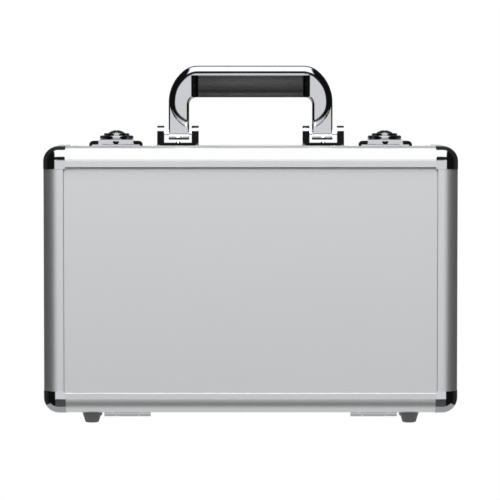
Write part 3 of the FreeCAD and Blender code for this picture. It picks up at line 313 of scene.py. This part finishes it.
def grip_side():
    """Points down one side of the grip: it swells out under the arch, then rounds in to the underside."""
    points = []
    for step in range(GRIP_STEPS + 1):
        share = step / GRIP_STEPS
        swelled = share * share * (3 - 2 * share)
        points.append((grip_half - GRIP_STEP_BACK * (1 - swelled), grip_high.z - GRIP_SWELL * share))
    for step in range(GRIP_STEPS + 1):
        turn = math.pi / 2 * step / GRIP_STEPS
        points.append((grip_half - GRIP_UNDER * (1 - math.cos(turn)),
                       grip_low.z + GRIP_UNDER * (1 - math.sin(turn))))
    return points


def round_edges(piece, name, width):
    """Rounds the sharp edges of a piece, and hands back the modifier that does it."""
    rounding = piece.modifiers.new(name, "BEVEL")
    rounding.width = width
    rounding.segments = 3
    rounding.limit_method = "ANGLE"
    rounding.angle_limit = math.radians(40)
    return rounding


block = bmesh.new()
front = [(grip_middle - deep, z) for deep, z in grip_side()]
rear = [(grip_middle + deep, z) for deep, z in reversed(grip_side())]
rings = []
for x in (grip_low.x, grip_high.x):
    rings.append([block.verts.new((x, y, z)) for y, z in front + rear])
for index in range(len(rings[0])):
    block.faces.new((rings[0][index - 1], rings[0][index], rings[1][index], rings[1][index - 1]))
for end in rings:
    block.faces.new(end)
bmesh.ops.recalc_face_normals(block, faces=block.faces)

# Black rubber: half matt, more so where hands have worn it. The ratchet's grip is of the same rubber.
soft_rubber, tree, shader, place = new_finish("grained_black_rubber", "#1E1E20", 0.0, 0.46)
pebbles = add(tree, "ShaderNodeTexVoronoi", {"Vector": place, "Scale": per_metre(1.1)}, feature="SMOOTH_F1")
worn = clouds(tree, place, 14.0, 3.0)
follow(tree, shader, {"Roughness": spread(tree, worn, (0.3, 0.7), (0.40, 0.55)),
                      "Normal": pressed_in(tree, pebbles.outputs["Distance"], 0.35, 0.0004)})
dress(soft_rubber, "ratchet_grip")
moulded_grip = new_piece("moulded_rubber_grip", block, soft_rubber)
round_edges(moulded_grip, "rounded_edges", GRIP_EDGE)
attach(moulded_grip, "handle")
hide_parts("handle_grip")


# Latches: a strike on the lid, a base plate on the case, a flap on a pin, and a key cylinder in the flap.
# Pressed and turned steel, bright chrome plated like the caps. The plates are riveted to the top wall.
# The key cylinder's dome and the flap's stepped boss show as rings of light and dark.

for side in ("left", "right"):
    dress(chrome, f"{side}_latch_strike", f"{side}_latch_base", f"{side}_latch_flap",
          f"{side}_lock_cylinder")


# Tool tray.
# A slab of dense foam, with a hollow for each tool cut by a die and its face flocked with short fibres.
# It is glued in the base. The die presses the edges round, and the flock is paler where it is seen edge on.

PRESSED_EDGE = 0.0009

tray_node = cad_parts["tool_tray"]
tray_mesh = tray_node.data.copy()
foam_tray = bpy.data.objects.new("die_cut_foam_tray", tray_mesh)
bpy.context.scene.collection.objects.link(foam_tray)
foam_tray.matrix_world = tray_node.matrix_world
joined = foam_tray.modifiers.new("joined", "WELD")
joined.merge_threshold = 0.00001
plain = foam_tray.modifiers.new("plain_faces", "DECIMATE")
plain.decimate_type = "DISSOLVE"
plain.angle_limit = math.radians(0.5)
pressed = round_edges(foam_tray, "pressed_edges", PRESSED_EDGE)
pressed.use_clamp_overlap = False

flock, tree, shader, place = new_finish("black_flocked_foam", "#202023", 0.0, 0.95)
shader.inputs["Sheen Weight"].default_value = 0.3
shader.inputs["Sheen Roughness"].default_value = 0.6
fibres = clouds(tree, place, 0.8, 4.0)
follow(tree, shader, {"Base Color": between(tree, fibres, "#161618", "#303034"),
                      "Normal": pressed_in(tree, fibres, 0.5, 0.0004)})
tray_mesh.materials.clear()
tray_mesh.materials.append(flock)
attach(foam_tray, "base")
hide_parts("tool_tray")


# Sockets, extension bars, spark plug socket and the ratchet's outside.
# Forged chrome vanadium steel, turned, barrel polished and chrome plated.
# Brighter than satin and duller than the case's chrome, with a faint haze where the tools have been wiped.

tool_steel, tree, shader, place = new_finish("polished_chrome_vanadium", "#D5D7DA", 1.0, 0.16)
wiped = clouds(tree, place, 6.0, 5.0)
follow(tree, shader, {"Roughness": spread(tree, wiped, (0.3, 0.7), (0.12, 0.24))})
dress(tool_steel, *[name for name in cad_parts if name.startswith("socket_")])
dress(tool_steel, "long_extension", "short_extension", "spark_plug_socket", "ratchet_body", "drive_spindle",
      "selector_lever", "release_button")


# Ratchet cover and pawl.
# Hardened steel, ground and blackened with oil. The cover is pressed into the head, in front of the pawl.
# Dark grey with a dull shine.

black_steel, tree, shader, place = new_finish("oil_blackened_steel", "#6E7074", 1.0, 0.34)
oily = clouds(tree, place, 4.0, 4.0)
follow(tree, shader, {"Roughness": spread(tree, oily, (0.3, 0.7), (0.26, 0.42))})
dress(black_steel, "ratchet_cover", "ratchet_pawl")


# Floor: a plain pale sheet that glows softly, from under the lid's face back behind the case.

FLOOR_FRONT = -0.048
FLOOR_BACK = 1.2
FLOOR_HALF = 0.19
FLOOR_GLOW = 0.6

floor = bmesh.new()
corners = [(-FLOOR_HALF, FLOOR_FRONT), (FLOOR_HALF, FLOOR_FRONT),
           (FLOOR_HALF, FLOOR_BACK), (-FLOOR_HALF, FLOOR_BACK)]
floor.faces.new([floor.verts.new((x, y, 0.0)) for x, y in corners])
glow, tree, shader, place = new_finish("pale_floor_sheet", "#000000", 0.0, 1.0)
shader.inputs["Emission Color"].default_value = linear("#FFFFFF")
shader.inputs["Emission Strength"].default_value = FLOOR_GLOW
pale_floor = new_piece("pale_floor", floor, glow)
pale_floor.visible_camera = False


# Studio: white all round the frame. For the metal there is a pale card in front, a soft box overhead,
# a card behind, and dark cloth between them and to both sides, which gives rounded metal its bands.

# Light against the angle from the front horizon over the zenith to the back horizon, in degrees.
STUDIO = [(-180, 0.9), (-80, 0.9), (-70, 0.15), (-11, 0.12), (-9, 1.25), (9, 1.25), (12, 0.02), (31, 0.02),
          (38, 2.2), (90, 2.2), (97, 0.06), (148, 0.06), (156, 0.45), (180, 0.45)]

# Where the cards end to the sides, and the light of the cloth there from front to back.
CARD_EDGE = (0.33, 0.45)
SIDE_REACH = (-0.2, 0.3)
SIDE_LIGHT = (0.01, 0.04)

world = bpy.data.worlds.new("studio")
bpy.context.scene.world = world
world.use_nodes = True
tree = world.node_tree
tree.nodes.clear()
way = add(tree, "ShaderNodeTexCoord", {}).outputs["Generated"]
parts = add(tree, "ShaderNodeSeparateXYZ", {"Vector": way})
ahead = maths(tree, "MULTIPLY", parts.outputs["Y"], -1.0)
climb = maths(tree, "ARCTAN2", parts.outputs["Z"], ahead)
bands = add(tree, "ShaderNodeValToRGB", {"Fac": spread(tree, climb, (-math.pi, math.pi), (0.0, 1.0))})
stops = bands.color_ramp.elements
while len(stops) < len(STUDIO):
    stops.new(0.5)
for stop, (angle, level) in zip(stops, STUDIO):
    stop.position = (angle + 180) / 360
    stop.color = (level, level, level, 1.0)
aside = maths(tree, "ABSOLUTE", parts.outputs["X"])
edge = add(tree, "ShaderNodeMapRange", {"Value": aside, "From Min": CARD_EDGE[0], "From Max": CARD_EDGE[1]},
           interpolation_type="SMOOTHSTEP")
cloth = spread(tree, parts.outputs["Y"], SIDE_REACH, SIDE_LIGHT)
light = add(tree, "ShaderNodeMix", {0: edge.outputs["Result"], 6: bands.outputs["Color"], 7: cloth},
            data_type="RGBA")
seen = add(tree, "ShaderNodeLightPath", {}).outputs["Is Camera Ray"]
room = add(tree, "ShaderNodeBackground", {"Color": light.outputs[2], "Strength": 1.0})
white = add(tree, "ShaderNodeBackground", {"Color": linear("#FFFFFF"), "Strength": 1.0})
both = add(tree, "ShaderNodeMixShader", {0: seen, 1: room.outputs[0], 2: white.outputs[0]})
add(tree, "ShaderNodeOutputWorld", {"Surface": both.outputs[0]})

# The lamp behind the soft box's cloth makes its middle the brightest.
LAMP_CLIMB = math.radians(62)
LAMP_AWAY = 2.6
LAMP_AIM = 0.12

lamp = bpy.data.lights.new("soft_box_lamp", "AREA")
lamp.shape = "RECTANGLE"
lamp.size = 0.4
lamp.size_y = 1.9
lamp.energy = 65.0
soft_box = bpy.data.objects.new("soft_box_lamp", lamp)
bpy.context.scene.collection.objects.link(soft_box)
soft_box.location = (0.0, -LAMP_AWAY * math.cos(LAMP_CLIMB), LAMP_AIM + LAMP_AWAY * math.sin(LAMP_CLIMB))
soft_box.rotation_euler = (math.pi / 2 - LAMP_CLIMB, 0.0, 0.0)

# The mirroring plate doesn't see the lamp, only the evenly lit cloth in front of it.
mirrors = bpy.data.collections.new("mirroring_plate")
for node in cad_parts.values():
    if chrome.name in node.data.materials:
        mirrors.objects.link(node)
for member in mirrors.collection_objects:
    member.light_linking.link_state = "EXCLUDE"
soft_box.light_linking.receiver_collection = mirrors


# Camera: a long lens, straight in front of the lid, a little above the top wall and tipped down to it.
# Colours are shown plainly, without a film curve.

CAMERA_AWAY = 2.5
CAMERA_HEIGHT = 0.271
CAMERA_ASIDE = -0.0005
CAMERA_TIP = 2.973

scene = bpy.context.scene
scene.view_settings.view_transform = "Standard"
lens = bpy.data.cameras.new("long_lens")
lens.sensor_width = 36.0
lens.lens = 216.6
camera = bpy.data.objects.new("long_lens", lens)
scene.collection.objects.link(camera)
camera.location = (CAMERA_ASIDE, -CAMERA_AWAY, CAMERA_HEIGHT)
camera.rotation_euler = (math.radians(90 - CAMERA_TIP), 0.0, 0.0)
scene.camera = camera
